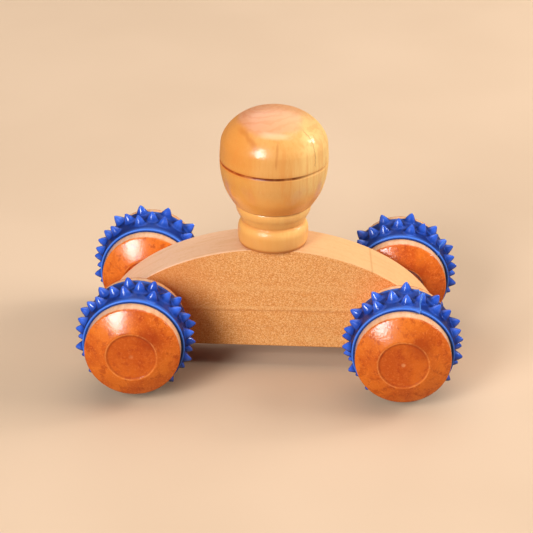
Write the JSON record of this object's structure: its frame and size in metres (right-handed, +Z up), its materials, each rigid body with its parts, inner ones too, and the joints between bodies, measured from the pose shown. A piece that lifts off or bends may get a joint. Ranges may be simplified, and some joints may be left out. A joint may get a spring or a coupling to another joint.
{
  "type": "foot massage roller",
  "caption": "Arched wooden board with a turned palm knob on top, riding on pairs of turned wooden rollers wrapped in spiked rubber strips.",
  "frame": {"origin": "on the floor straight below the knob's axis, midway between the two axles and the two rows of wheels", "axes": "+X along the board from the left pair of wheels to the right pair, +Y across the board to the back, +Z up"},
  "size_m": [0.1218, 0.0798, 0.0864],
  "materials": {
    "board_wood": "clear satin varnish, fine sanded grain",
    "knob_wood": "honey varnish, glossy, burnt line round the head",
    "wheel_wood": "orange stain under gloss varnish",
    "blue_rubber": "moulded, satin gloss",
    "axle_steel": "drawn bright rod",
    "washer_nylon": "natural white, matte",
    "dowel_wood": "bare beech"
  },
  "bodies": {
    "body": {"body_block": "board_wood", "knob": "knob_wood", "knob_dowel": "dowel_wood"},
    "left_axle_set": {"axle_left": "axle_steel", "wheel_front_left": "wheel_wood", "ring_front_left": "blue_rubber", "washer_front_left": "washer_nylon", "wheel_back_left": "wheel_wood", "ring_back_left": "blue_rubber", "washer_back_left": "washer_nylon"},
    "right_axle_set": {"axle_right": "axle_steel", "wheel_front_right": "wheel_wood", "ring_front_right": "blue_rubber", "washer_front_right": "washer_nylon", "wheel_back_right": "wheel_wood", "ring_back_right": "blue_rubber", "washer_back_right": "washer_nylon"}
  },
  "joints": [
    {"name": "left_axle_turn", "type": "hinge", "parent": "body", "child": "left_axle_set", "pos_m": [-0.042, 0, 0.019], "axis": [0, 1, 0], "continuous": true},
    {"name": "right_axle_turn", "type": "hinge", "parent": "body", "child": "right_axle_set", "pos_m": [0.042, 0, 0.019], "axis": [0, 1, 0], "continuous": true}
  ]
}
